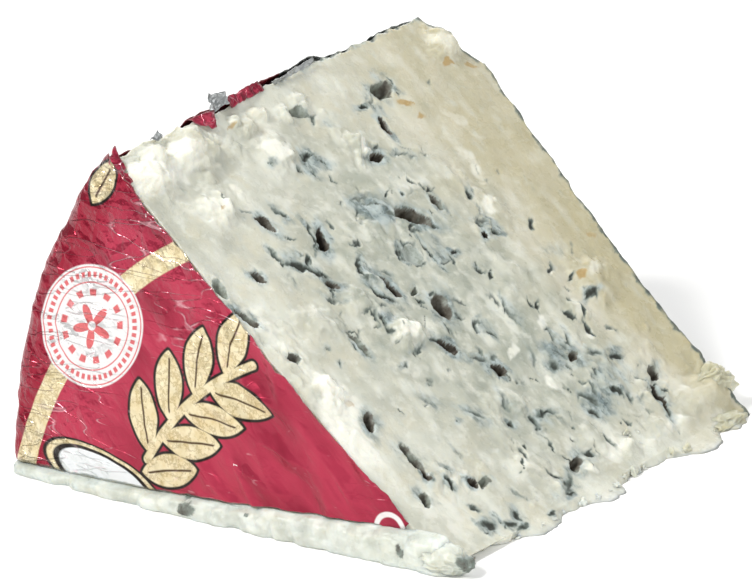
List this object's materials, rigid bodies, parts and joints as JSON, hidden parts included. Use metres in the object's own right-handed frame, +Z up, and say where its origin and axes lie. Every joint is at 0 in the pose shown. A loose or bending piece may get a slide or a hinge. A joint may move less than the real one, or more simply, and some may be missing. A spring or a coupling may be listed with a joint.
{
  "type": "wedge of blue-veined cheese",
  "caption": "Wedge of blue-veined ewe's-milk cheese lying on one cut face, with printed crimson foil left on its rind sides.",
  "frame": {"origin": "on the flat base, under the middle of the wedge", "axes": "+X along the wheel's axis, from the printed face to the far face; +Y from the thin edge to the rim; +Z up"},
  "size_m": [0.105, 0.1023, 0.0647],
  "materials": {
    "ivory_paste": "moist, crumbly, veined with blue-green mould",
    "crimson_foil": "thin printed foil, satin, finely creased"
  },
  "bodies": {
    "root": {"cheese": "ivory_paste", "foil": "crimson_foil"}
  },
  "joints": []
}
